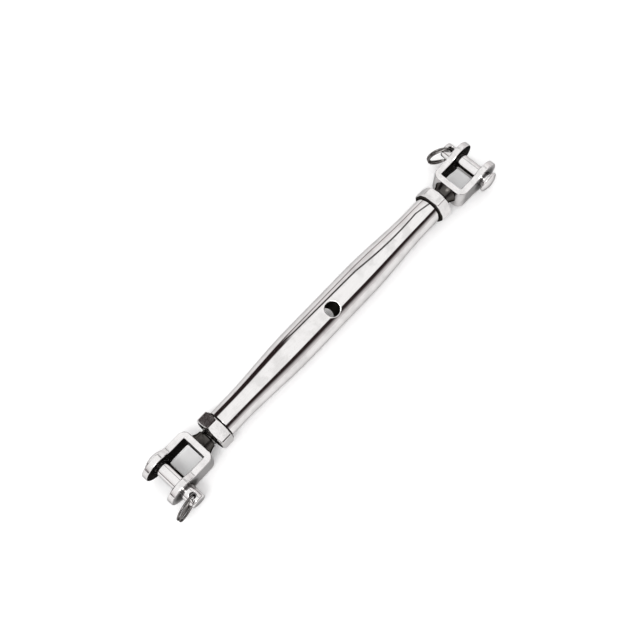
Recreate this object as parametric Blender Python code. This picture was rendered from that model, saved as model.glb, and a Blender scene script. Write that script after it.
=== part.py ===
"""A rigging turnbuckle with a fork at each end, in separate solid pieces.

The frame's origin is on the axis at the middle of the tube body. +X runs along the axis to the right
fork, both clevis pins lie along Y, and +Z is up. The left thread is right-handed and the right thread
is left-handed, so turning the body pushes both forks out together.
"""

import math

import bmesh
import bpy
from mathutils import Matrix, Vector

MM = 0.001
CLEARANCE = 0.3 * MM  # left between any two pieces that touch

# Tube body
BODY_LENGTH = 150 * MM
BODY_MIDDLE_RADIUS = 9.2 * MM
BODY_END_RADIUS = 7.3 * MM
BODY_STRAIGHT_HALF = 22 * MM  # the thick middle stretch reaches this far from the centre
BODY_TAPER_END = 66 * MM
BODY_WALL = 2.5 * MM
BODY_EDGE_CHAMFER = 0.5 * MM
BAR_HOLE_RADIUS = 3.75 * MM
BAR_HOLE_TILT = math.radians(14)  # the cross hole leans from +Z towards -Y

# Threaded stud
THREAD_RADIUS = 4.9 * MM
THREAD_BORE_RADIUS = 5.3 * MM
STUD_INNER_END = 12 * MM
STUD_END_CHAMFER = 0.8 * MM
SPIGOT_RADIUS = 3.6 * MM

# Lock nut
NUT_ACROSS_FLATS = 17 * MM
NUT_LENGTH = 7 * MM
NUT_CHAMFER_RADIUS = 8.1 * MM
NUT_CHAMFER_SLOPE = math.tan(math.radians(30))
LEFT_NUT_TURN = math.radians(-4)  # how far a corner stands from +Z towards -Y
RIGHT_NUT_TURN = math.radians(26)

# Fork: one strap bent into a U
FORK_START = 88.5 * MM  # outer face of the bridge, from the body's middle
STRAP_THICKNESS = 3.4 * MM
STRAP_WIDTH = 13.4 * MM
JAW_GAP = 13.0 * MM
PIN_AXIS = 107.7 * MM
EYE_RADIUS = 9.2 * MM
EYE_FILLET = 6 * MM
BEND_OUTER_RADIUS = 4 * MM
BEND_INNER_RADIUS = 0.8 * MM
COLLAR_RADIUS = 6.4 * MM
COLLAR_LENGTH = 4.2 * MM

# Clevis pin
PIN_RADIUS = 4 * MM
PIN_LENGTH = 28.3 * MM  # under the head
PIN_HEAD_RADIUS = 5.6 * MM
PIN_FLANGE = 1.2 * MM
PIN_DOME = 1.5 * MM
PIN_END_CHAMFER = 0.8 * MM
RING_HOLE_FROM_END = 3.7 * MM
RING_HOLE_RADIUS = 1.6 * MM
LEFT_PIN_FLOAT = 0.0  # how far the pin has slid from where its head meets the fork
RIGHT_PIN_FLOAT = 1.7 * MM

# Split ring
WIRE_RADIUS = 0.55 * MM
RING_RADIUS = 6.4 * MM  # to the middle of the wire
RING_TURNS = 1.6
RING_PITCH = 1.25 * MM
RING_STEPS_PER_TURN = 40
LEFT_RING_SWING = math.radians(12)  # away from the fork, out of the plane square to the pin
RIGHT_RING_SWING = math.radians(30)

# Finish of each kind of piece: colour and roughness, all of them bare metal
TUBE_FINISH = ((0.80, 0.79, 0.78), 0.06)
NUT_FINISH = ((0.78, 0.77, 0.76), 0.14)
FORK_FINISH = ((0.80, 0.79, 0.78), 0.09)
STUD_FINISH = ((0.58, 0.57, 0.56), 0.22)
PIN_FINISH = ((0.81, 0.80, 0.79), 0.08)
RING_FINISH = ((0.64, 0.63, 0.62), 0.16)

ROUND_STEPS = 48
SMALL_ROUND_STEPS = 32
ARC_STEPS = 8
SHARP_ANGLE = math.radians(30)

JAW_HALF = JAW_GAP / 2
FORK_HALF = JAW_HALF + STRAP_THICKNESS
BRIDGE_INNER = FORK_START + STRAP_THICKNESS
COLLAR_START = FORK_START - CLEARANCE - COLLAR_LENGTH
NUT_CORNER_RADIUS = NUT_ACROSS_FLATS / math.sqrt(3)


def clear_scene():
    for obj in list(bpy.data.objects):
        bpy.data.objects.remove(obj, do_unlink=True)


def make_material(name, finish):
    colour, roughness = finish
    material = bpy.data.materials.new(name + "_steel")
    material.use_nodes = True
    shader = material.node_tree.nodes["Principled BSDF"]
    shader.inputs["Base Color"].default_value = (*colour, 1.0)
    shader.inputs["Metallic"].default_value = 1.0
    shader.inputs["Roughness"].default_value = roughness
    return material


def make_object(name, bm, finish=None):
    """One named object from a finished bmesh, with its faces pointing out and a material of its own."""
    bmesh.ops.recalc_face_normals(bm, faces=bm.faces)
    mesh = bpy.data.meshes.new(name)
    bm.to_mesh(mesh)
    bm.free()
    mesh.shade_smooth()
    mesh.set_sharp_from_angle(angle=SHARP_ANGLE)
    obj = bpy.data.objects.new(name, mesh)
    bpy.context.scene.collection.objects.link(obj)
    if finish:
        mesh.materials.append(make_material(name, finish))
    return obj


def make_cutter(name, bm):
    cutter = make_object(name, bm)
    cutter.hide_render = True
    cutter.display_type = "WIRE"
    return cutter


def boolean(obj, cutter, operation):
    modifier = obj.modifiers.new(cutter.name, "BOOLEAN")
    modifier.operation = operation
    modifier.solver = "EXACT"
    modifier.object = cutter
    cutter.parent = obj


def arc(centre, radius, start, end, steps=ARC_STEPS):
    """Points on an arc, from one angle to another in degrees, both ends included."""
    angles = [math.radians(start + (end - start) * step / steps) for step in range(steps + 1)]
    return [(centre[0] + radius * math.cos(a), centre[1] + radius * math.sin(a)) for a in angles]


def turned(profile, steps):
    """A closed profile of (along, radius) points, turned around the X axis."""
    bm = bmesh.new()
    verts = [bm.verts.new((along, radius, 0.0)) for along, radius in profile]
    edges = [bm.edges.new((a, b)) for a, b in zip(verts, verts[1:] + verts[:1])]
    bmesh.ops.spin(
        bm, geom=verts + edges, cent=(0, 0, 0), axis=(1, 0, 0), angle=math.tau, steps=steps, use_merge=True
    )
    bmesh.ops.remove_doubles(bm, verts=bm.verts, dist=0.001 * MM)
    axis_edges = [e for e in bm.edges if all(math.hypot(v.co.y, v.co.z) < 0.001 * MM for v in e.verts)]
    bmesh.ops.delete(bm, geom=axis_edges, context="EDGES")
    return bm


def prism(outline, low, high, to_world):
    """An outline of (a, b) points pushed from low to high; to_world places an (a, b, height) point."""
    bm = bmesh.new()
    face = bm.faces.new([bm.verts.new((a, b, low)) for a, b in outline])
    pushed = bmesh.ops.extrude_face_region(bm, geom=[face])
    top = [item for item in pushed["geom"] if isinstance(item, bmesh.types.BMVert)]
    bmesh.ops.translate(bm, verts=top, vec=(0, 0, high - low))
    bmesh.ops.transform(bm, verts=bm.verts, matrix=to_world)
    return bm


def rod(radius, low, high, steps, to_world):
    """A plain cylinder along its own Z from low to high."""
    outline = arc((0, 0), radius, 0, 360 * (steps - 1) / steps, steps - 1)
    return prism(outline, low, high, to_world)


ALONG_Z = Matrix.Identity(4)
ALONG_Y = Matrix.Rotation(math.radians(-90), 4, "X")
ALONG_X = Matrix.Rotation(math.radians(90), 4, "Y")


def smooth_step(share):
    return share * share * (3 - 2 * share)


def body_radius(along):
    """Outer radius of the tube body: thick and straight in the middle, drawn down towards the ends."""
    share = (abs(along) - BODY_STRAIGHT_HALF) / (BODY_TAPER_END - BODY_STRAIGHT_HALF)
    share = smooth_step(min(max(share, 0.0), 1.0))
    return BODY_MIDDLE_RADIUS + (BODY_END_RADIUS - BODY_MIDDLE_RADIUS) * share


def body_profile():
    half = BODY_LENGTH / 2
    taper = BODY_TAPER_END - BODY_STRAIGHT_HALF
    stations = [BODY_STRAIGHT_HALF + taper * step / ARC_STEPS for step in range(ARC_STEPS + 1)]
    stations = [-s for s in reversed(stations)] + stations
    chamfer = BODY_EDGE_CHAMFER
    outer = [(-half, BODY_END_RADIUS - chamfer), (-half + chamfer, BODY_END_RADIUS)]
    outer += [(s, body_radius(s)) for s in stations]
    outer += [(half - chamfer, BODY_END_RADIUS), (half, BODY_END_RADIUS - chamfer)]
    inner = [(half, THREAD_BORE_RADIUS)]
    inner += [(s, max(body_radius(s) - BODY_WALL, THREAD_BORE_RADIUS)) for s in reversed(stations)]
    inner += [(-half, THREAD_BORE_RADIUS)]
    return outer + inner


def make_body():
    """The closed tube with its cross hole, which the bar that turns it goes through."""
    body = make_object("tube_body", turned(body_profile(), ROUND_STEPS), TUBE_FINISH)
    reach = 2 * BODY_MIDDLE_RADIUS
    bar_hole = rod(BAR_HOLE_RADIUS, -reach, reach, SMALL_ROUND_STEPS, ALONG_Z)
    boolean(body, make_cutter("bar_hole_cutter", bar_hole), "DIFFERENCE")
    body.rotation_euler.x = BAR_HOLE_TILT


def make_nut(name, side, turn):
    """A chamfered hexagon, bored through, pushed up to the end of the tube body."""
    start = BODY_LENGTH / 2 + CLEARANCE
    end = start + NUT_LENGTH
    widest = NUT_CORNER_RADIUS + CLEARANCE
    chamfer = (widest - NUT_CHAMFER_RADIUS) * NUT_CHAMFER_SLOPE
    blank = [
        (start, THREAD_BORE_RADIUS),
        (start, NUT_CHAMFER_RADIUS),
        (start + chamfer, widest),
        (end - chamfer, widest),
        (end, NUT_CHAMFER_RADIUS),
        (end, THREAD_BORE_RADIUS),
    ]
    nut = make_object(name, turned(blank, ROUND_STEPS), NUT_FINISH)
    hexagon = arc((0, 0), NUT_CORNER_RADIUS, 0, 300, 5)
    boolean(nut, make_cutter(name + "_hexagon", prism(hexagon, start / 2, 2 * end, ALONG_X)), "INTERSECT")
    nut.rotation_euler = (side * turn, 0, 0 if side > 0 else math.pi)


def strap_outline():
    """The bent strap seen from above, long enough to reach past the eyes."""
    tip = PIN_AXIS + EYE_RADIUS + 2 * MM
    bend = BEND_OUTER_RADIUS
    tight = BEND_INNER_RADIUS
    outline = [(tip, -FORK_HALF)]
    outline += arc((FORK_START + bend, -FORK_HALF + bend), bend, 270, 180)
    outline += arc((FORK_START + bend, FORK_HALF - bend), bend, 180, 90)
    outline += [(tip, FORK_HALF), (tip, JAW_HALF)]
    outline += arc((BRIDGE_INNER + tight, JAW_HALF - tight), tight, 90, 180, 3)
    outline += arc((BRIDGE_INNER + tight, -JAW_HALF + tight), tight, 180, 270, 3)
    outline += [(tip, -JAW_HALF)]
    return outline


def arm_outline():
    """An arm seen from its side: a straight strap that swells through a fillet into a round eye."""
    half = STRAP_WIDTH / 2
    fillet_height = half + EYE_FILLET
    reach = EYE_RADIUS + EYE_FILLET
    fillet_back = math.sqrt(reach**2 - fillet_height**2)
    lean = math.degrees(math.atan2(fillet_height, -fillet_back))
    upper = [(FORK_START - 2 * MM, half)]
    upper += arc((PIN_AXIS - fillet_back, fillet_height), EYE_FILLET, 270, 180 + lean)
    upper += arc((PIN_AXIS, 0), EYE_RADIUS, lean, 0, 2 * ARC_STEPS)[1:]
    lower = [(a, -b) for a, b in reversed(upper[:-1])]
    return upper + lower


def make_fork(name, side):
    """The bent strap cut to its side view, with a hole through both eyes and one through the bridge."""
    fork = make_object(name, prism(strap_outline(), -EYE_RADIUS, EYE_RADIUS, ALONG_Z), FORK_FINISH)
    side_view = Matrix.Rotation(math.radians(90), 4, "X")
    reach = 2 * FORK_HALF
    outline = make_cutter(name + "_outline", prism(arm_outline(), -reach, reach, side_view))
    boolean(fork, outline, "INTERSECT")
    pin_hole = rod(PIN_RADIUS + CLEARANCE, -reach, reach, SMALL_ROUND_STEPS, ALONG_Y)
    bmesh.ops.translate(pin_hole, verts=pin_hole.verts, vec=(PIN_AXIS, 0, 0))
    boolean(fork, make_cutter(name + "_pin_hole", pin_hole), "DIFFERENCE")
    hole_end = PIN_AXIS - 2 * PIN_RADIUS
    stud_hole = rod(SPIGOT_RADIUS + CLEARANCE, COLLAR_START, hole_end, SMALL_ROUND_STEPS, ALONG_X)
    boolean(fork, make_cutter(name + "_stud_hole", stud_hole), "DIFFERENCE")
    fork.rotation_euler.z = 0 if side > 0 else math.pi


def make_stud(name, side):
    """A threaded rod with a flared collar against the fork's bridge and a spigot through it."""
    collar_end = COLLAR_START + COLLAR_LENGTH
    profile = [
        (STUD_INNER_END, 0),
        (STUD_INNER_END, THREAD_RADIUS - STUD_END_CHAMFER),
        (STUD_INNER_END + STUD_END_CHAMFER, THREAD_RADIUS),
    ]
    for step in range(ARC_STEPS + 1):
        share = step / ARC_STEPS
        radius = THREAD_RADIUS + (COLLAR_RADIUS - THREAD_RADIUS) * share * share
        profile.append((COLLAR_START + COLLAR_LENGTH * share, radius))
    profile += [(collar_end, SPIGOT_RADIUS), (BRIDGE_INNER, SPIGOT_RADIUS), (BRIDGE_INNER, 0)]
    stud = make_object(name, turned(profile, SMALL_ROUND_STEPS), STUD_FINISH)
    stud.rotation_euler.z = 0 if side > 0 else math.pi


def make_pin(name, side, slid):
    """A clevis pin along its own X, with X = 0 on the fork's middle plane and the head at the low end.

    Returns where the pin's ring hole lies along Y.
    """
    under_head = -FORK_HALF - CLEARANCE - slid
    end = under_head + PIN_LENGTH
    flange_top = under_head - PIN_FLANGE
    dome_radius = (PIN_HEAD_RADIUS**2 + PIN_DOME**2) / (2 * PIN_DOME)
    profile = [(flange_top - PIN_DOME, 0)]
    for step in range(1, ARC_STEPS + 1):
        radius = PIN_HEAD_RADIUS * step / ARC_STEPS
        rise = math.sqrt(dome_radius**2 - radius**2) - (dome_radius - PIN_DOME)
        profile.append((flange_top - rise, radius))
    profile += [
        (under_head, PIN_HEAD_RADIUS),
        (under_head, PIN_RADIUS),
        (end - PIN_END_CHAMFER, PIN_RADIUS),
        (end, PIN_RADIUS - PIN_END_CHAMFER),
        (end, 0),
    ]
    pin = make_object(name, turned(profile, SMALL_ROUND_STEPS), PIN_FINISH)
    reach = 2 * PIN_RADIUS
    ring_hole = rod(RING_HOLE_RADIUS, -reach, reach, SMALL_ROUND_STEPS, ALONG_Z)
    hole_along = end - RING_HOLE_FROM_END
    bmesh.ops.translate(ring_hole, verts=ring_hole.verts, vec=(hole_along, 0, 0))
    boolean(pin, make_cutter(name + "_ring_hole", ring_hole), "DIFFERENCE")
    pin.location.x = side * PIN_AXIS
    pin.rotation_euler.z = side * math.pi / 2
    return side * hole_along


def ring_path():
    """The wire's middle line: a flat spiral whose single strand runs through the pin's hole.

    The hole's middle is the origin and its axis is Z, the ring lies towards +X and its turns stack
    along Y. Within the hole the strand bows, so the ring's centre sits where the bow is halved.
    """
    bow = RING_RADIUS - math.sqrt(RING_RADIUS**2 - PIN_RADIUS**2)
    centre = RING_RADIUS - bow / 2
    steps = round(RING_TURNS * RING_STEPS_PER_TURN)
    points = []
    for step in range(steps + 1):
        turns = RING_TURNS * (step / steps - 0.5)
        angle = math.pi + math.tau * turns
        across = centre + RING_RADIUS * math.cos(angle)
        points.append(Vector((across, RING_PITCH * turns, RING_RADIUS * math.sin(angle))))
    return points


def make_ring(name, location, heading):
    """The wire swept along its path, with the ring's origin at the middle of the pin's hole."""
    curve = bpy.data.curves.new(name, "CURVE")
    curve.dimensions = "3D"
    curve.bevel_depth = WIRE_RADIUS
    curve.bevel_resolution = 2
    curve.use_fill_caps = True
    points = ring_path()
    spline = curve.splines.new("POLY")
    spline.points.add(len(points) - 1)
    for point, place in zip(spline.points, points):
        point.co = (*place, 1.0)
    curve.materials.append(make_material(name, RING_FINISH))
    ring = bpy.data.objects.new(name, curve)
    bpy.context.scene.collection.objects.link(ring)
    ring.location = location
    ring.rotation_euler.z = heading


def make_end(side, word, nut_turn, slid, ring_swing):
    """Everything at one end of the turnbuckle: side is -1 on the left and +1 on the right."""
    make_nut("lock_nut_" + word, side, nut_turn)
    make_fork("fork_" + word, side)
    make_stud("stud_" + word, side)
    hole_y = make_pin("clevis_pin_" + word, side, slid)
    heading = math.pi - side * ring_swing
    make_ring("split_ring_" + word, (side * PIN_AXIS, hole_y, 0), heading)


clear_scene()
make_body()
make_end(-1, "left", LEFT_NUT_TURN, LEFT_PIN_FLOAT, LEFT_RING_SWING)
make_end(1, "right", RIGHT_NUT_TURN, RIGHT_PIN_FLOAT, RIGHT_RING_SWING)
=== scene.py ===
"""Looks for the rigging turnbuckle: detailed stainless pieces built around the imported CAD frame."""

import math

import bmesh
import bpy
from mathutils import Matrix, Vector


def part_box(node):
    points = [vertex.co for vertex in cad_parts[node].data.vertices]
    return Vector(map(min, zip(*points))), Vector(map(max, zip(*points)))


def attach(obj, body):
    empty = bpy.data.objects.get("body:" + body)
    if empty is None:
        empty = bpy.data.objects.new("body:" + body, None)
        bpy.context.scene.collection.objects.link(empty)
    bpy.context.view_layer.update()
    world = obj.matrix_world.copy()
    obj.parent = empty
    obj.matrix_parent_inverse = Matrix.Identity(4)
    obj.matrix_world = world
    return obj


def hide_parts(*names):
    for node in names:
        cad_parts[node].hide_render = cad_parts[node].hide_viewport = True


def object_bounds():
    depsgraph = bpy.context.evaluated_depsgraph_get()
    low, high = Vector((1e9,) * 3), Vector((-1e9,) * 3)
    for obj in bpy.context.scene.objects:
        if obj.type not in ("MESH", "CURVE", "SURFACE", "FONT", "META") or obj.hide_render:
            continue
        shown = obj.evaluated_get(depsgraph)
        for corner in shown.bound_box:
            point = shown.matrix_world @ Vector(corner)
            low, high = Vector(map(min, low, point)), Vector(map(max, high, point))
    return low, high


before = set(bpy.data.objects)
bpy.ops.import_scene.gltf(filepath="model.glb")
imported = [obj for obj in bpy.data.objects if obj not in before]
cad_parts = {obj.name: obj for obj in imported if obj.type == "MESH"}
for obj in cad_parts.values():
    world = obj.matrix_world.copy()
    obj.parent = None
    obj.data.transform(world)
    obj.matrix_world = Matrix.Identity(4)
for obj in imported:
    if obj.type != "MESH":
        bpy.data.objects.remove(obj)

cad_low, cad_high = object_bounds()

MM = 0.001
SIDES = {"left": -1, "right": 1}

# Sizes that every piece shares with the CAD
BODY_END_RADIUS = 7.3 * MM
BODY_STRAIGHT_HALF = 22 * MM
BODY_TAPER_END = 66 * MM
BODY_WALL = 2.5 * MM
BORE_RADIUS = 5.3 * MM
BAR_HOLE_RADIUS = 3.75 * MM
BAR_HOLE_TILT = math.radians(14)
NUT_ACROSS_FLATS = 17 * MM
NUT_CHAMFER_RADIUS = 8.1 * MM
NUT_TURN = {"left": math.radians(-4), "right": math.radians(26)}
STRAP_THICKNESS = 3.4 * MM
STRAP_WIDTH = 13.4 * MM
EYE_FILLET = 6 * MM
BEND_OUTER_RADIUS = 4 * MM
BEND_INNER_RADIUS = 0.8 * MM
THREAD_RADIUS = 4.9 * MM
COLLAR_RADIUS = 6.4 * MM
COLLAR_LENGTH = 4.2 * MM
SPIGOT_RADIUS = 3.6 * MM
PIN_RADIUS = 4 * MM
PIN_HEAD_RADIUS = 5.6 * MM
PIN_DOME = 1.5 * MM
PIN_FLANGE = 1.2 * MM
PIN_HOLE_RADIUS = 4.3 * MM
RING_HOLE_RADIUS = 1.6 * MM
RING_HOLE_FROM_END = 3.7 * MM
WIRE_RADIUS = 0.55 * MM
RING_RADIUS = 6.4 * MM
RING_TURNS = 1.6
RING_PITCH = 1.25 * MM
RING_SWING = {"left": math.radians(12), "right": math.radians(30)}
CLEARANCE = 0.3 * MM

# Fine shape that only the visible pieces have
EDGE_ROUND = 0.45 * MM
BAR_HOLE_LIP = 0.45 * MM
BODY_COUNTERSINK = 0.6 * MM
NUT_COUNTERSINK = 0.5 * MM
NUT_BORE_RADIUS = BORE_RADIUS - 0.1 * MM
NUT_CORNER_ROUND = 0.12 * MM
NUT_CHAMFER_DEPTH = 1.2 * MM
NUT_CHAMFER_ROUND = 0.15 * MM
NUT_PAINTED_SHADE_DEPTH = 0.35 * MM  # how far down its edge a nut's inner face is painted near black, as painted shade where it meets the tube
THREAD_PITCH = 1.5 * MM
THREAD_DEPTH = 0.8 * MM
THREAD_TIP_CHAMFER = 0.3 * MM
THREAD_RUN_OUT_SLOPE = 0.6
COLLAR_SHOULDER = 0.35 * MM
SPIGOT_EDGE = 0.3 * MM
RING_HOLE_LIP = 0.3 * MM
PIN_HEAD_EDGE = 0.25 * MM
PIN_NECK_FILLET = 0.2 * MM
PIN_TIP_ROUND = 0.9 * MM
RING_KICK = 1.5 * MM  # how far a ring's free ends stand out
RING_KICK_FROM = 0.86  # where along each half of the ring the kick starts
OVERCUT = 2 * MM  # how far the fork's blank and its cutter run past each other

# One turn of the thread: (share of a turn along the rod, share of the depth above the root)
THREAD_SHAPE = [(0.0, 0.0), (0.12, 0.0), (0.44, 1.0), (0.56, 1.0), (0.88, 0.0), (1.0, 0.0)]

# Camera: the direction it looks from, and its lens
VIEW_AZIMUTH = -47.9
VIEW_ELEVATION = 69.4
VIEW_DISTANCE = 0.4752
SENSOR_WIDTH = 36
FOCAL_LENGTH = 54.9
FRAME_SHIFT = (-0.0142, -0.0117)
NEAREST_SEEN = 0.01

# Studio: angles in degrees from straight up, as seen along the X axis, positive towards +Y
LOW_LINE = ((79, 82), (87, 91))  # each flag starts over the first pair and ends over the second
HIGH_LINE = ((82, 87), (94, 99))
HIGH_LINE_LEAN = 2.3  # radians by which the high line comes nearer to straight up per unit of X
WIDE_FLAG = ((44, 53), (94, 100))
WIDE_FLAG_REACH = (0.15, 0.25)  # the wide flag fades out over these values of X
RIGHT_FLAG = ((-88, -60), (-46, -42))
FLAGS_FOOT = (0.05, 0.09)  # all flags fade in over these values of Z
WALL_TOP = 0.1
CEILING_START = 0.75
WALL_COLOUR = (0.72, 0.685, 0.69, 1.0)
CEILING_COLOUR = (1.0, 1.0, 1.0, 1.0)
FLAG_COLOUR = (0.022, 0.014, 0.014, 1.0)
STUDIO_STRENGTH = 1.25
FLOOR_HALF_WIDTH = 4.0
FLOOR_GAP = 0.05 * MM

# Finishes
BRIGHT = (0.73, 0.715, 0.71)
# Painted shade: the threads' grey is darker than the bright steel, as the shade round the stud's neck.
THREAD_PAINTED_SHADE = (0.42, 0.41, 0.4)
WIRE = (0.2, 0.19, 0.185)
# Painted shade: the stud's collar between nut and fork is painted near black, as the shade it sits in.
COLLAR_PAINTED_SHADE = (0.07, 0.066, 0.062)
# Painted shade: the faces inside each fork's jaw are painted near black, as the shade inside the jaw.
JAW_PAINTED_SHADE = (0.055, 0.051, 0.048)
# Painted shade: the bores, the cross hole's walls and the nuts' inner faces are painted near black, as the
# shade in them.
BORE_PAINTED_SHADE = (0.05, 0.046, 0.042)
STAIN_COLOUR = (0.02, 0.016, 0.014, 1.0)
STAIN = 0.12  # how much of the stain's colour shows in pits and patches
PATCHES_PER_METRE = 150.0
SPECKS_PER_METRE = 2200.0
NOISE_RANGE = (0.3, 0.7)  # where nearly all of a noise's values lie
DULL_PATCHES = (0.42, 0.68)  # the values over which a patch goes from clean to dull
PITS = (0.64, 0.72)  # the values over which a speck becomes a pit

WELD = 1e8  # points closer than 1 / WELD metres become one
TOUCHING = 1e-9


# Helpers


def spaced(low, high, steps):
    return [low + (high - low) * step / steps for step in range(steps + 1)]


def smooth_step(share):
    share = min(max(share, 0.0), 1.0)
    return share * share * (3 - 2 * share)


def soft_min(a, b, blend):
    """The smaller of two sizes, with the corner between them rounded over the blend."""
    share = min(max(0.5 + 0.5 * (b - a) / blend, 0.0), 1.0)
    return b + (a - b) * share - blend * share * (1 - share)


def ring_points(along, radius, columns):
    return [
        (along, radius * math.cos(math.tau * i / columns), radius * math.sin(math.tau * i / columns))
        for i in range(columns)
    ]


def arc(centre, radius, start, end, steps):
    """Points on an arc, from one angle to another in degrees, both ends included."""
    angles = [math.radians(a) for a in spaced(start, end, steps)]
    return [(centre[0] + radius * math.cos(a), centre[1] + radius * math.sin(a)) for a in angles]


def direction(azimuth, elevation):
    """The way to a place seen from the origin, in degrees; azimuth 0 is towards -Y, 90 towards +X."""
    turn = math.radians(azimuth)
    rise = math.radians(elevation)
    return Vector((math.sin(turn) * math.cos(rise), -math.cos(turn) * math.cos(rise), math.sin(rise)))


def reach(node):
    """How far from the middle along X the node starts and ends, whichever end it is on."""
    low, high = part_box(node)
    return sorted((abs(low[0]), abs(high[0])))


def pin_place(word):
    """A clevis pin's place along X, and its head's top and its end, measured along the pin."""
    low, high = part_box("clevis_pin_" + word)
    head_top, end = (low[1], high[1]) if SIDES[word] > 0 else (-high[1], -low[1])
    return (low[0] + high[0]) / 2, head_top, end


def facing(side):
    """The half turn that carries a piece built for the +X end over to the -X end, or no turn."""
    return Matrix.Rotation(0.0 if side > 0 else math.pi, 4, "Z")


def add_object(name, data):
    obj = bpy.data.objects.new(name, data)
    bpy.context.scene.collection.objects.link(obj)
    return obj


def add_piece(name, mesh, materials):
    for material in materials:
        mesh.materials.append(material)
    return add_object(name, mesh)


def settle(piece, body, node):
    """The piece stands for its CAD node and moves with its body."""
    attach(piece, body)
    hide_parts(node)


class Shell:
    """Collects points and faces of one closed surface, welding points that coincide.

    finish is the index of the material that the faces added next will have.
    """

    def __init__(self):
        self.points = []
        self.faces = []
        self.places = {}
        self.finish = 0
        self.finishes = []

    def point(self, place):
        key = tuple(round(value * WELD) for value in place)
        if key not in self.places:
            self.places[key] = len(self.points)
            self.points.append(tuple(place))
        return self.places[key]

    def loop(self, places):
        return [self.point(place) for place in places]

    def face(self, corners):
        kept = [corner for i, corner in enumerate(corners) if corner != corners[i - 1]]
        if len(set(kept)) > 2:
            self.faces.append(kept)
            self.finishes.append(self.finish)

    def strip(self, first, second, closed=True, skip=()):
        """Quads between two loops of equal length. skip holds the columns that are left open."""
        count = len(first)
        for i in range(count if closed else count - 1):
            if i not in skip:
                j = (i + 1) % count
                self.face([first[i], first[j], second[j], second[i]])

    def build(self, name, materials, turn, sharp=math.radians(40)):
        """The finished piece, turned into its place, with edges steeper than sharp left crisp."""
        mesh = bpy.data.meshes.new(name)
        mesh.from_pydata(self.points, [], self.faces)
        mesh.polygons.foreach_set("material_index", self.finishes)
        bm = bmesh.new()
        bm.from_mesh(mesh)
        bmesh.ops.recalc_face_normals(bm, faces=bm.faces)
        bmesh.ops.transform(bm, verts=bm.verts, matrix=turn)
        bm.to_mesh(mesh)
        bm.free()
        mesh.shade_smooth()
        mesh.set_sharp_from_angle(angle=sharp)
        return add_piece(name, mesh, materials)


class Crosshole:
    """A round hole along Z through a round bar along X, with a window of the bar's own grid round it.

    The window is a square of the grid, so many columns wide each way. Rings of points run from its
    edge to the hole's lip, over the rounded lip and down the wall.
    """

    def __init__(self, bar_radius, hole_radius, lip, columns, half_columns, centre=0.0):
        self.bar = bar_radius
        self.hole = hole_radius
        self.lip = lip
        self.columns = columns
        self.half = half_columns
        self.centre = centre
        self.half_angle = math.tau * half_columns / columns
        self.half_length = bar_radius * math.sin(self.half_angle)

    def stations(self):
        """Places along the bar where the grid must have a row of points."""
        return [self.centre + x for x in spaced(-self.half_length, self.half_length, 2 * self.half)]

    def open_columns(self):
        """The grid's columns that the windows above and below take up."""
        quarter = self.columns // 4
        return {middle + i for middle in (quarter, 3 * quarter) for i in range(-self.half, self.half)}

    def open_rows(self, profile, bar_radius):
        """The profile steps that cross the window on the surface of this radius."""
        stations = self.stations()
        rows = []
        for i, (first, second) in enumerate(zip(profile, profile[1:])):
            on_surface = all(abs(radius - bar_radius) < TOUCHING for _, radius in (first, second))
            after_start = min(first[0], second[0]) > stations[0] - TOUCHING
            before_end = max(first[0], second[0]) < stations[-1] + TOUCHING
            if on_surface and after_start and before_end:
                rows.append(i)
        return rows

    def edge(self, bar_radius):
        """The window's outline as (along, across) pairs, from its -45 degree corner."""
        steps = 2 * self.half
        long = spaced(-self.half_length, self.half_length, steps)
        wide = [bar_radius * math.sin(a) for a in spaced(-self.half_angle, self.half_angle, steps)]
        edge = [(long[-1], across) for across in wide[:-1]]
        edge += [(along, wide[-1]) for along in reversed(long[1:])]
        edge += [(long[0], across) for across in reversed(wide[1:])]
        edge += [(along, wide[0]) for along in long[:-1]]
        return edge

    def circle(self, radius):
        """A circle with as many points as the window's outline, from the same -45 degree corner."""
        steps = 8 * self.half
        angles = [math.tau * (step / steps - 0.125) for step in range(steps)]
        return [(radius * math.cos(a), radius * math.sin(a)) for a in angles]

    def surface(self, shell, pairs, bar_radius, side, drop=0.0, base=None):
        """Points of a loop laid on a bar of this radius; base is the loop whose height is used."""
        places = []
        for (along, across), (_, height_across) in zip(pairs, base or pairs):
            height = math.sqrt(bar_radius**2 - height_across**2) - drop
            places.append((self.centre + along, across, side * height))
        return shell.loop(places)

    def window(self, shell, bar_radius, opening, side, rings):
        """Fills the window of one surface from its edge to a round opening, and returns the opening."""
        outline = list(zip(self.edge(bar_radius), self.circle(opening)))
        last = None
        for share in spaced(1.0, 0.0, rings):
            pairs = [(r[0] + (e[0] - r[0]) * share, r[1] + (e[1] - r[1]) * share) for e, r in outline]
            loop = self.surface(shell, pairs, bar_radius, side)
            if last:
                shell.strip(last, loop)
            last = loop
        return last

    def lip_down(self, shell, side, last, steps=5):
        """Rolls the surface over the rounded lip and returns the top of the wall."""
        rim = self.circle(self.hole + self.lip)
        for angle in spaced(0, math.pi / 2, steps)[1:]:
            pairs = self.circle(self.hole + self.lip * (1 - math.sin(angle)))
            drop = self.lip * (1 - math.cos(angle))
            loop = self.surface(shell, pairs, self.bar, side, drop, rim)
            shell.strip(last, loop)
            last = loop
        return last


def turn_profile(shell, profile, columns, open_rows=(), open_columns=(), painted_shade_from=None):
    """Turns a profile of (along, radius) points around X, with windows left open for cross holes.

    The steps from the last argument's step on have the shell's second finish, which here is always painted
    shade.
    """
    loops = []
    for along, radius in profile:
        if radius > 0:
            loops.append(shell.loop(ring_points(along, radius, columns)))
        else:
            loops.append([shell.point((along, 0.0, 0.0))] * columns)
    for i, (first, second) in enumerate(zip(loops, loops[1:])):
        shell.finish = int(painted_shade_from is not None and i >= painted_shade_from)
        shell.strip(first, second, skip=open_columns if i in open_rows else ())
    shell.finish = 0


# Materials


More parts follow.
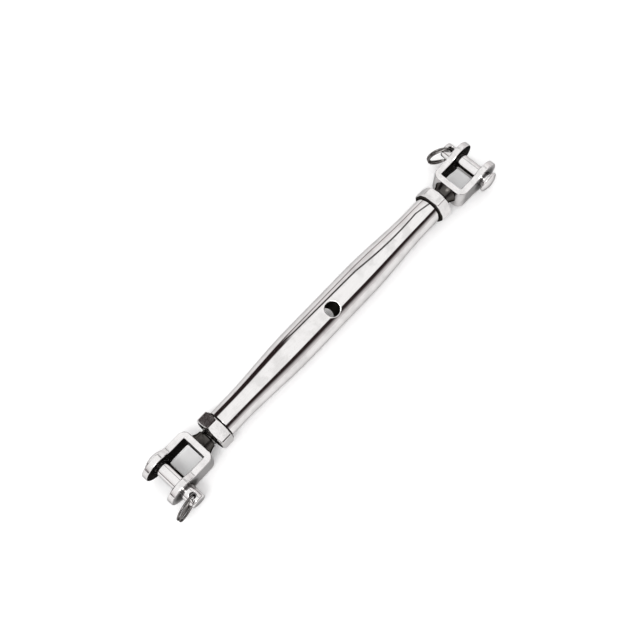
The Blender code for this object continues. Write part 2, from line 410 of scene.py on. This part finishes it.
class Nodes:
    """Adds nodes to the tree of a material or a world. A value is a node's output or a constant."""

    def __init__(self, owner):
        self.tree = owner.node_tree

    def feed(self, socket, value):
        if isinstance(value, bpy.types.NodeSocket):
            self.tree.links.new(value, socket)
        else:
            socket.default_value = value

    def add(self, kind, inputs, **settings):
        """A new node with these settings; inputs maps the names or numbers of its sockets to values."""
        node = self.tree.nodes.new(kind)
        for key, value in settings.items():
            setattr(node, key, value)
        for key, value in inputs.items():
            self.feed(node.inputs[key], value)
        return node

    def coordinates(self, kind):
        return self.add("ShaderNodeTexCoord", {}).outputs[kind]

    def noise(self, vector, scale, detail=3.0):
        """An uneven value that changes over 1 / scale metres."""
        inputs = {"Vector": vector, "Scale": scale, "Detail": detail}
        return self.add("ShaderNodeTexNoise", inputs).outputs["Fac"]

    def soft_spread(self, value, source, target=(0.0, 1.0)):
        """As spread, but leaving and reaching the ends smoothly."""
        return self.spread(value, source, target, "SMOOTHSTEP")

    def spread(self, value, source, target, interpolation="LINEAR"):
        """The value carried from one range over to another, and held at its ends."""
        names = ("From Min", "From Max", "To Min", "To Max")
        inputs = {"Value": value, **dict(zip(names, (*source, *target)))}
        return self.add("ShaderNodeMapRange", inputs, interpolation_type=interpolation).outputs["Result"]

    def combine(self, operation, first, second):
        return self.add("ShaderNodeMath", {0: first, 1: second}, operation=operation).outputs["Value"]

    def product(self, first, second):
        return self.combine("MULTIPLY", first, second)

    def total(self, first, second):
        return self.combine("ADD", first, second)

    def mix(self, share, first, second):
        """The first colour where the share is 0, and the second where it is 1."""
        inputs = {"Factor": share, 6: first, 7: second}
        return self.add("ShaderNodeMix", inputs, data_type="RGBA").outputs[2]

    def distance_from(self, place, centre, axes):
        """How far a point is from the centre along some axes, with both ends of the object alike."""
        value = place
        for operation, constant in (("ABSOLUTE", None), ("SUBTRACT", centre), ("MULTIPLY", axes)):
            inputs = {0: value, 1: constant} if constant else {0: value}
            value = self.add("ShaderNodeVectorMath", inputs, operation=operation).outputs["Vector"]
        return self.add("ShaderNodeVectorMath", {0: value}, operation="LENGTH").outputs["Value"]


def steel(name, colour, roughness, lines, line_depth, wobble, edge, fade=None):
    """Stainless steel with fine finishing lines, small pits, dull patches and a slow unevenness.

    lines is how often they change in a metre along X, Y and Z, so a small number gives long lines that
    way. wobble is the height of the unevenness that bends reflections. edge is how much of the
    reflection is left at a glancing angle. The last argument paints shade into the colour, dark near a
    centre: it holds the centre, the axes that count, the distances between which the painted shade goes
    from dark to none, and the least brightness.
    """
    material = bpy.data.materials.new(name)
    material.use_nodes = True
    nodes = Nodes(material)
    shader = material.node_tree.nodes["Principled BSDF"]
    shader.inputs["Metallic"].default_value = 1.0
    shader.inputs["Specular Tint"].default_value = (edge, edge, edge, 1.0)

    place = nodes.coordinates("Object")
    stretched = nodes.add("ShaderNodeMapping", {"Vector": place, "Scale": lines}).outputs["Vector"]
    fine = nodes.noise(stretched, 1.0, 4.0)
    patches = nodes.noise(place, PATCHES_PER_METRE)
    specks = nodes.noise(place, SPECKS_PER_METRE, 2.0)
    pits = nodes.soft_spread(specks, PITS)
    dull = nodes.soft_spread(patches, DULL_PATCHES)

    rough = nodes.spread(fine, NOISE_RANGE, (0.75 * roughness, 1.35 * roughness))
    rough = nodes.total(rough, nodes.product(dull, 0.5 * roughness))
    rough = nodes.total(rough, nodes.product(pits, 0.15))
    nodes.feed(shader.inputs["Roughness"], rough)

    marks = nodes.product(nodes.combine("MAXIMUM", dull, pits), STAIN)
    marks = nodes.total(marks, nodes.spread(fine, NOISE_RANGE, (0.0, 0.5 * STAIN)))
    clean = nodes.combine("SUBTRACT", 1.0, marks)
    if fade:
        # Painted shade: the colour is darkened near the centre, as the shade that falls there.
        away = nodes.distance_from(place, fade["centre"], fade["axes"])
        clean = nodes.product(clean, nodes.soft_spread(away, fade["distances"], (fade["least"], 1.0)))
    nodes.feed(shader.inputs["Base Color"], nodes.mix(clean, STAIN_COLOUR, (*colour, 1.0)))

    slow = nodes.add("ShaderNodeBump", {"Strength": 1.0, "Distance": wobble, "Height": patches})
    inputs = {"Strength": 1.0, "Distance": line_depth, "Height": fine, "Normal": slow.outputs["Normal"]}
    sharp = nodes.add("ShaderNodeBump", inputs)
    nodes.feed(shader.inputs["Normal"], sharp.outputs["Normal"])
    return material


def glowing_paint(name, colour, roughness, glow):
    """Smooth paint that also gives off a little light of its own: painted light that lifts the shadows on
    the floor.
    """
    material = bpy.data.materials.new(name)
    material.use_nodes = True
    shader = material.node_tree.nodes["Principled BSDF"]
    shader.inputs["Base Color"].default_value = (*colour, 1.0)
    shader.inputs["Roughness"].default_value = roughness
    shader.inputs["Emission Color"].default_value = (1.0, 1.0, 1.0, 1.0)
    shader.inputs["Emission Strength"].default_value = glow
    return material


# Pieces


def make_tube(outside, inside):
    """The closed body: thick middle, drawn-down ends, and a polished lip round the cross hole."""
    columns = 96
    low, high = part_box("tube_body")
    half = high[0]
    middle = (high[2] - low[2]) / 2
    hole = Crosshole(middle, BAR_HOLE_RADIUS, BAR_HOLE_LIP, columns, half_columns=10)

    def outer_radius(along):
        share = (abs(along) - BODY_STRAIGHT_HALF) / (BODY_TAPER_END - BODY_STRAIGHT_HALF)
        return middle + (BODY_END_RADIUS - middle) * smooth_step(share)

    def inner_radius(along):
        return max(outer_radius(along) - BODY_WALL, BORE_RADIUS)

    beyond = spaced(hole.stations()[-1], BODY_STRAIGHT_HALF, 6)[1:]
    beyond += spaced(BODY_STRAIGHT_HALF, BODY_TAPER_END, 30)[1:]
    along = [-x for x in reversed(beyond)] + hole.stations() + beyond
    rounded = arc((half - EDGE_ROUND, BODY_END_RADIUS - EDGE_ROUND), EDGE_ROUND, 90, 0, 4)
    outer = [(-x, r) for x, r in reversed(rounded)]
    outer += [(x, outer_radius(x)) for x in along]
    outer += rounded
    inner_end = [(half, BORE_RADIUS + BODY_COUNTERSINK), (half - BODY_COUNTERSINK, BORE_RADIUS)]
    inner = inner_end + [(x, inner_radius(x)) for x in reversed(along)]
    inner += [(-x, r) for x, r in reversed(inner_end)]
    profile = outer + inner + outer[:1]

    shell = Shell()
    rows = hole.open_rows(profile, middle) + hole.open_rows(profile, middle - BODY_WALL)
    # The tube's inside takes the second material, painted near black as painted shade.
    turn_profile(shell, profile, columns, rows, hole.open_columns(), painted_shade_from=len(outer))
    for side in (1, -1):
        shell.finish = 0
        rim = hole.window(shell, middle, hole.hole + hole.lip, side, rings=5)
        wall_top = hole.lip_down(shell, side, rim)
        # The hole's wall is painted near black, as painted shade inside the hole.
        shell.finish = 1
        wall_foot = hole.window(shell, middle - BODY_WALL, hole.hole, side, rings=2)
        shell.strip(wall_top, wall_foot)
    tube = shell.build("tube", (outside, inside), Matrix.Rotation(BAR_HOLE_TILT, 4, "X"))
    settle(tube, "body", "tube_body")


def make_nut(word, outside, inside):
    """A hexagon with soft corners, cone chamfers at both faces and a countersunk bore."""
    columns = 180
    side = SIDES[word]
    start, end = reach("lock_nut_" + word)
    length = end - start
    flat = NUT_ACROSS_FLATS / 2
    corner = flat / math.cos(math.radians(30)) - NUT_CORNER_ROUND
    chamfer_rise = 1 / math.tan(math.radians(30))
    sixth = math.radians(60)

    def radius(angle, depth):
        off_flat = (angle + sixth / 2) % sixth - sixth / 2
        hexagon = soft_min(flat / math.cos(off_flat), corner, NUT_CORNER_ROUND)
        cone = NUT_CHAMFER_RADIUS + depth * chamfer_rise
        return soft_min(hexagon, cone, NUT_CHAMFER_ROUND)

    depths = spaced(0, NUT_CHAMFER_DEPTH, 14) + [length / 2]
    stations = [(depth, depth) for depth in depths]
    stations += [(length - depth, depth) for depth in reversed(depths[:-1])]
    shell = Shell()
    loops = []
    for place, depth in stations:
        loop = []
        for i in range(columns):
            angle = math.tau * i / columns
            r = radius(angle, depth)
            loop.append((start + place, r * math.cos(angle), r * math.sin(angle)))
        loops.append(shell.loop(loop))
    bore = [
        (start + length, BORE_RADIUS + NUT_COUNTERSINK),
        (start + length - NUT_COUNTERSINK, NUT_BORE_RADIUS),
        (start + NUT_COUNTERSINK, NUT_BORE_RADIUS),
        (start, BORE_RADIUS + NUT_COUNTERSINK),
    ]
    loops += [shell.loop(ring_points(x, r, columns)) for x, r in bore]
    for i, (first, second) in enumerate(zip(loops, loops[1:] + loops[:1])):
        # The nut's face towards the tube and its bore take the second material, painted near black as
        # painted shade.
        on_inner_face = i < len(stations) and stations[i][0] < NUT_PAINTED_SHADE_DEPTH
        in_bore = i >= len(stations) - 1
        shell.finish = int(on_inner_face or in_bore)
        shell.strip(first, second)
    turn = facing(side) @ Matrix.Rotation(side * NUT_TURN[word], 4, "X")
    nut = shell.build("nut_" + word, (outside, inside), turn, sharp=math.radians(25))
    settle(nut, word + "_nut", "lock_nut_" + word)


def add_thread(shell, side, start, end, columns):
    """A helical thread whose points follow its helix, so that crest and root are clean lines.

    Points past either end are held at that end, where they weld into one ring.
    """
    root = THREAD_RADIUS - THREAD_DEPTH

    def thread_point(turns, rise, column):
        share = column / columns
        lead = share if side < 0 else -share
        along = min(max(start + THREAD_PITCH * (turns + lead), start), end)
        tip_chamfer = root - THREAD_TIP_CHAMFER + (along - start)
        run_out = root + (end - along) * THREAD_RUN_OUT_SLOPE
        r = min(root + THREAD_DEPTH * rise, tip_chamfer, run_out)
        angle = math.tau * share
        return (along, r * math.cos(angle), r * math.sin(angle))

    def thread_line(turns, rise):
        return [shell.point(thread_point(turns, rise, column)) for column in range(columns + 1)]

    tip = shell.point((start, 0.0, 0.0))
    turns_needed = math.ceil((end - start) / THREAD_PITCH) + 1
    for turn in range(-1, turns_needed):
        for (share, rise), (next_share, next_rise) in zip(THREAD_SHAPE, THREAD_SHAPE[1:]):
            first = thread_line(turn + share, rise)
            second = thread_line(turn + next_share, next_rise)
            shell.strip(first, second, closed=False)
    start_ring = shell.loop(ring_points(start, root - THREAD_TIP_CHAMFER, columns))
    shell.strip([tip] * columns, start_ring)


def make_stud(word, threaded, collared):
    """A rod threaded right-handed on the left and left-handed on the right, with a flared collar."""
    columns = 48
    side = SIDES[word]
    inner_end, spigot_end = reach("stud_" + word)
    bridge = spigot_end - STRAP_THICKNESS
    collar_start = bridge - CLEARANCE - COLLAR_LENGTH
    shoulder = collar_start + COLLAR_SHOULDER
    collar = [(collar_start, THREAD_RADIUS - THREAD_DEPTH)]
    for share in spaced(0, 1, 12):
        flare = (COLLAR_RADIUS - THREAD_RADIUS) * share**2
        collar.append((shoulder + (bridge - shoulder) * share, THREAD_RADIUS + flare))
    collar += [(bridge, SPIGOT_RADIUS), (spigot_end - SPIGOT_EDGE, SPIGOT_RADIUS)]
    collar += [(spigot_end, SPIGOT_RADIUS - SPIGOT_EDGE), (spigot_end, 0.0)]

    shell = Shell()
    add_thread(shell, side, inner_end, collar_start, columns)
    # The whole collar takes the second material, its painted shade.
    turn_profile(shell, collar, columns, painted_shade_from=0)
    materials = (threaded, collared)
    stud = shell.build("stud_" + word + "_threaded", materials, facing(side), sharp=math.radians(50))
    settle(stud, word + "_end", "stud_" + word)


def prism(outline, low, high, placing):
    """A temporary object: an outline of (a, b) points pushed from low to high, then placed."""
    bm = bmesh.new()
    face = bm.faces.new([bm.verts.new((a, b, low)) for a, b in outline])
    pushed = bmesh.ops.extrude_face_region(bm, geom=[face])
    top = [item for item in pushed["geom"] if isinstance(item, bmesh.types.BMVert)]
    bmesh.ops.translate(bm, verts=top, vec=(0, 0, high - low))
    bmesh.ops.transform(bm, verts=bm.verts, matrix=placing)
    bmesh.ops.recalc_face_normals(bm, faces=bm.faces)
    mesh = bpy.data.meshes.new("blank")
    bm.to_mesh(mesh)
    bm.free()
    return add_object("blank", mesh)


def finished_mesh(obj, name):
    """The object's mesh with its modifiers applied; the object itself is removed."""
    bpy.context.view_layer.update()
    mesh = bpy.data.meshes.new_from_object(obj.evaluated_get(bpy.context.evaluated_depsgraph_get()))
    mesh.name = name
    mesh.materials.clear()
    bpy.data.objects.remove(obj)
    return mesh


def strap_outline(start, outer, inner, past):
    """The bent strap seen from above: a U with its bridge at start and its arms running past the eyes."""
    bridge = start + STRAP_THICKNESS
    bend = BEND_OUTER_RADIUS
    tight = BEND_INNER_RADIUS
    outline = [(past, -outer)]
    outline += arc((start + bend, -outer + bend), bend, 270, 180, 12)
    outline += arc((start + bend, outer - bend), bend, 180, 90, 12)
    outline += [(past, outer), (past, inner)]
    outline += arc((bridge + tight, inner - tight), tight, 90, 180, 5)
    outline += arc((bridge + tight, -inner + tight), tight, 180, 270, 5)
    return outline + [(past, -inner)]


def arm_outline(start, pin_axis, eye):
    """An arm seen from the side: a straight strap that widens through two fillets into a round eye."""
    half = STRAP_WIDTH / 2
    fillet_height = half + EYE_FILLET
    fillet_back = math.sqrt((eye + EYE_FILLET) ** 2 - fillet_height**2)
    lean = math.degrees(math.atan2(fillet_height, -fillet_back))
    upper = [(start - OVERCUT, half)]
    upper += arc((pin_axis - fillet_back, fillet_height), EYE_FILLET, 270, 180 + lean, 10)
    upper += arc((pin_axis, 0), eye, lean, 0, 30)[1:]
    return upper + [(a, -b) for a, b in reversed(upper[:-1])]


def make_fork(word, outside, inside):
    """A strap bent into a U with an eye in each arm, every edge softly rounded, rougher inside the jaw and
    painted near black there as painted shade.
    """
    low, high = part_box("fork_" + word)
    start, tip = reach("fork_" + word)
    eye = (high[2] - low[2]) / 2
    outer = (high[1] - low[1]) / 2
    inner = outer - STRAP_THICKNESS
    pin_axis = tip - eye

    strap = strap_outline(start, outer, inner, past=tip + OVERCUT)
    blank_half = eye + MM
    fork = prism(strap, -blank_half, blank_half, Matrix.Identity(4))
    hole_points = 64
    hole = arc((pin_axis, 0), PIN_HOLE_RADIUS, 0, 360 * (1 - 1 / hole_points), hole_points - 1)
    side_view = Matrix.Rotation(math.radians(90), 4, "X")
    cutters = []
    for operation, outline in (("INTERSECT", arm_outline(start, pin_axis, eye)), ("DIFFERENCE", hole)):
        cutter = prism(outline, -2 * outer, 2 * outer, side_view)
        cutters.append(cutter)
        cut = fork.modifiers.new("cut", "BOOLEAN")
        cut.operation = operation
        cut.object = cutter
    edges = fork.modifiers.new("edges", "BEVEL")
    edges.width = EDGE_ROUND
    edges.segments = 3
    edges.limit_method = "ANGLE"
    edges.angle_limit = math.radians(50)
    even = fork.modifiers.new("even", "WEIGHTED_NORMAL")
    even.keep_sharp = True
    for polygon in fork.data.polygons:
        polygon.use_smooth = True
    mesh = finished_mesh(fork, "fork_" + word)
    for cutter in cutters:
        bpy.data.objects.remove(cutter)

    # Faces inside the jaw take the second material: rougher steel painted near black as painted shade.
    slack = 0.1 * MM
    jaw_floor = start + STRAP_THICKNESS - slack
    for polygon in mesh.polygons:
        middle = polygon.center
        polygon.material_index = int(middle.x > jaw_floor and abs(middle.y) < inner + slack)
    mesh.transform(facing(SIDES[word]))
    piece = add_piece("fork_" + word + "_strap", mesh, (outside, inside))
    settle(piece, word + "_end", "fork_" + word)


def pin_profile(head_top, end, hole):
    """A low domed head with a soft rim, a plain shank with the hole's rows in it, and a rounded end."""
    flange_top = head_top + PIN_DOME
    under_head = flange_top + PIN_FLANGE
    dome_radius = (PIN_HEAD_RADIUS**2 + PIN_DOME**2) / (2 * PIN_DOME)
    soft = PIN_HEAD_EDGE
    profile = [(head_top, 0.0)]
    for r in spaced(0, PIN_HEAD_RADIUS - soft, 12)[1:]:
        rise = math.sqrt(dome_radius**2 - r**2) - (dome_radius - PIN_DOME)
        profile.append((flange_top - rise, r))
    profile += arc((flange_top + soft, PIN_HEAD_RADIUS - soft), soft, 180, 90, 4)[1:]
    profile += arc((under_head - soft, PIN_HEAD_RADIUS - soft), soft, 90, 0, 4)
    profile += [(under_head, PIN_RADIUS + PIN_NECK_FILLET), (under_head + PIN_NECK_FILLET, PIN_RADIUS)]
    shank = spaced(under_head + MM, hole.stations()[0] - MM, 10) + hole.stations()
    profile += [(x, PIN_RADIUS) for x in shank]
    profile += arc((end - PIN_TIP_ROUND, PIN_RADIUS - PIN_TIP_ROUND), PIN_TIP_ROUND, 90, 0, 6)
    return profile + [(end, 0.4 * PIN_RADIUS), (end, 0.0)]


def make_pin(word, material):
    """A clevis pin with a low domed head, a rounded end and a cross hole for its ring."""
    columns = 64
    pin_axis, head_top, end = pin_place(word)
    hole_at = end - RING_HOLE_FROM_END
    hole = Crosshole(PIN_RADIUS, RING_HOLE_RADIUS, RING_HOLE_LIP, columns, half_columns=6, centre=hole_at)
    profile = pin_profile(head_top, end, hole)
    shell = Shell()
    turn_profile(shell, profile, columns, hole.open_rows(profile, PIN_RADIUS), hole.open_columns())
    walls = []
    for side in (1, -1):
        rim = hole.window(shell, PIN_RADIUS, hole.hole + hole.lip, side, rings=4)
        walls.append(hole.lip_down(shell, side, rim))
    shell.strip(walls[0], walls[1])
    heading = Matrix.Rotation(SIDES[word] * math.pi / 2, 4, "Z")
    pin = shell.build("pin_" + word, (material,), Matrix.Translation((pin_axis, 0, 0)) @ heading)
    settle(pin, word + "_pin", "clevis_pin_" + word)


def ring_path(centre):
    """The middle of the wire: a flat spiral about the centre, whose free ends kick outwards."""
    path = []
    for turns in spaced(-RING_TURNS / 2, RING_TURNS / 2, 120):
        kicked = max(abs(turns) / (RING_TURNS / 2) - RING_KICK_FROM, 0.0) / (1 - RING_KICK_FROM)
        radius = RING_RADIUS + RING_KICK * kicked**2
        angle = math.pi + math.tau * turns
        across = centre + radius * math.cos(angle)
        path.append(Vector((across, RING_PITCH * turns, radius * math.sin(angle))))
    return path


def wire_stops(path):
    """Place, heading and size of each section of the wire, with a small dome at both ends."""
    first_way = (path[0] - path[1]).normalized()
    last_way = (path[-1] - path[-2]).normalized()
    dome = [(WIRE_RADIUS * math.sin(a), math.cos(a)) for a in spaced(0, math.pi / 2, 4)[1:]]
    stops = [(path[0] + first_way * out, first_way * -1, size) for out, size in reversed(dome)]
    for before, place, after in zip(path[:1] + path, path, path[1:] + path[-1:]):
        stops.append((place, (after - before).normalized(), 1.0))
    return stops + [(path[-1] + last_way * out, last_way, size) for out, size in dome]


def make_ring(word, material):
    """A split ring of round wire whose single strand runs through the pin's hole."""
    side = SIDES[word]
    pin_axis, _, end = pin_place(word)
    hole_y = side * (end - RING_HOLE_FROM_END)
    bow = RING_RADIUS - math.sqrt(RING_RADIUS**2 - PIN_RADIUS**2)
    centre = RING_RADIUS - bow / 2
    wire_sides = 16
    angles = [math.tau * i / wire_sides for i in range(wire_sides)]
    shell = Shell()
    loops = []
    for place, ahead, size in wire_stops(ring_path(centre)):
        up = ahead.cross(Vector((place.x - centre, 0, place.z)).normalized()).normalized()
        out = up.cross(ahead)
        radius = WIRE_RADIUS * size
        loops.append(shell.loop([place + radius * (out * math.cos(a) + up * math.sin(a)) for a in angles]))
    for first, second in zip(loops, loops[1:]):
        shell.strip(first, second)
    heading = Matrix.Rotation(math.pi - side * RING_SWING[word], 4, "Z")
    ring = shell.build("ring_" + word, (material,), Matrix.Translation((pin_axis, hole_y, 0)) @ heading)
    settle(ring, word + "_ring", "split_ring_" + word)


# Setting


def make_camera():
    data = bpy.data.cameras.new("camera")
    data.sensor_width = SENSOR_WIDTH
    data.lens = FOCAL_LENGTH
    data.shift_x, data.shift_y = FRAME_SHIFT
    data.clip_start = NEAREST_SEEN
    camera = add_object("camera", data)
    camera.location = VIEW_DISTANCE * direction(VIEW_AZIMUTH, VIEW_ELEVATION)
    camera.rotation_euler = (math.radians(90 - VIEW_ELEVATION), 0, math.radians(VIEW_AZIMUTH))
    bpy.context.scene.camera = camera


def make_light(name, azimuth, elevation, distance, size, power):
    """A soft square light aimed at the origin."""
    data = bpy.data.lights.new(name, "AREA")
    data.shape = "SQUARE"
    data.size = size
    data.energy = power
    light = add_object(name, data)
    place = direction(azimuth, elevation)
    light.location = distance * place
    light.rotation_euler = place.to_track_quat("Z", "Y").to_euler()


def make_world():
    """A bright studio with black flags along the object, which polished steel shows as dark bands.

    On the +Y side are two thin flags, a low one and a leaning high one, and a wide flag towards -X.
    On the -Y side is one flag with a soft lower edge.
    """
    world = bpy.data.worlds.new("studio")
    world.use_nodes = True
    nodes = Nodes(world)
    split = nodes.add("ShaderNodeSeparateXYZ", {"Vector": nodes.coordinates("Generated")})
    x, y, z = (split.outputs[axis] for axis in "XYZ")
    across = nodes.combine("ARCTAN2", y, z)
    leaning = nodes.total(across, nodes.product(x, HIGH_LINE_LEAN))

    def band(value, edges):
        """1 between the two edges, each given as the angles where it starts and ends, and 0 outside."""
        rising, falling = ([math.radians(angle) for angle in edge] for edge in edges)
        fall = nodes.soft_spread(value, falling, (1.0, 0.0))
        return nodes.product(nodes.soft_spread(value, rising), fall)

    wide_flag = nodes.product(band(across, WIDE_FLAG), nodes.soft_spread(x, WIDE_FLAG_REACH, (1.0, 0.0)))
    flags = band(across, LOW_LINE)
    for flag in (band(leaning, HIGH_LINE), wide_flag, band(across, RIGHT_FLAG)):
        flags = nodes.combine("MAXIMUM", flags, flag)
    flags = nodes.product(flags, nodes.soft_spread(z, FLAGS_FOOT))

    height = nodes.add("ShaderNodeValToRGB", {"Fac": z})
    wall, ceiling = height.color_ramp.elements
    wall.position = WALL_TOP
    wall.color = WALL_COLOUR
    ceiling.position = CEILING_START
    ceiling.color = CEILING_COLOUR
    background = world.node_tree.nodes["Background"]
    nodes.feed(background.inputs["Color"], nodes.mix(flags, height.outputs["Color"], FLAG_COLOUR))
    background.inputs["Strength"].default_value = STUDIO_STRENGTH
    bpy.context.scene.world = world


def make_floor(material):
    bm = bmesh.new()
    bmesh.ops.create_grid(bm, x_segments=1, y_segments=1, size=FLOOR_HALF_WIDTH)
    mesh = bpy.data.meshes.new("floor")
    bm.to_mesh(mesh)
    bm.free()
    floor = add_piece("floor", mesh, (material,))
    floor.location.z = cad_low[2] - FLOOR_GAP


# Everything together

# Painted shade: the forks are painted darker round each pin's head at both ends, where the head shades the
# arm.
pin_head_painted_shade = {
    "centre": (pin_place("right")[0], 0.0, 0.0),
    "axes": (1.0, 0.0, 1.0),
    "distances": (5.6 * MM, 8.4 * MM),
    "least": 0.2,
}
# Painted shade: the threads are painted darker towards their roots, as the shade down in the grooves.
thread_root_painted_shade = {
    "centre": (0.0, 0.0, 0.0),
    "axes": (0.0, 1.0, 1.0),
    "distances": (THREAD_RADIUS - THREAD_DEPTH, THREAD_RADIUS - 0.15 * MM),
    "least": 0.1,
}
tube_steel = steel(
    "tube_steel", BRIGHT, roughness=0.055, lines=(120.0, 5000.0, 5000.0),
    line_depth=0.0006 * MM, wobble=0.006 * MM, edge=0.45,
)
bore_painted_shade_steel = steel(
    "bore_painted_shade_steel", BORE_PAINTED_SHADE, roughness=0.45, lines=(3000.0, 400.0, 400.0),
    line_depth=0.01 * MM, wobble=0.02 * MM, edge=0.1,
)
nut_steel = steel(
    "nut_steel", BRIGHT, roughness=0.11, lines=(2500.0, 900.0, 900.0),
    line_depth=0.0015 * MM, wobble=0.03 * MM, edge=0.5,
)
fork_steel = steel(
    "fork_steel", BRIGHT, roughness=0.1, lines=(700.0, 700.0, 4000.0),
    line_depth=0.0015 * MM, wobble=0.05 * MM, edge=0.35, fade=pin_head_painted_shade,
)
jaw_painted_shade_steel = steel(
    "jaw_painted_shade_steel", JAW_PAINTED_SHADE, roughness=0.3, lines=(900.0, 900.0, 4000.0),
    line_depth=0.006 * MM, wobble=0.04 * MM, edge=0.25,
)
thread_steel = steel(
    "thread_steel", THREAD_PAINTED_SHADE, roughness=0.2, lines=(2500.0, 900.0, 900.0),
    line_depth=0.004 * MM, wobble=0.03 * MM, edge=0.4, fade=thread_root_painted_shade,
)
collar_painted_shade_steel = steel(
    "collar_painted_shade_steel", COLLAR_PAINTED_SHADE, roughness=0.2, lines=(2500.0, 900.0, 900.0),
    line_depth=0.004 * MM, wobble=0.03 * MM, edge=0.2,
)
pin_steel = steel(
    "pin_steel", BRIGHT, roughness=0.07, lines=(900.0, 5000.0, 900.0),
    line_depth=0.001 * MM, wobble=0.02 * MM, edge=0.3,
)
wire_steel = steel(
    "wire_steel", WIRE, roughness=0.12, lines=(900.0, 900.0, 900.0),
    line_depth=0.004 * MM, wobble=0.01 * MM, edge=0.2,
)

make_tube(tube_steel, bore_painted_shade_steel)
for word in SIDES:
    make_nut(word, nut_steel, bore_painted_shade_steel)
    make_stud(word, thread_steel, collar_painted_shade_steel)
    make_fork(word, fork_steel, jaw_painted_shade_steel)
    make_pin(word, pin_steel)
    make_ring(word, wire_steel)

bpy.context.scene.view_settings.view_transform = "Standard"
make_world()
# The floor glows a little, as painted light.
make_floor(glowing_paint("floor_paint", (0.92, 0.92, 0.92), roughness=0.6, glow=0.15))
make_light("key", azimuth=-66, elevation=60, distance=1.2, size=0.4, power=4)
make_camera()
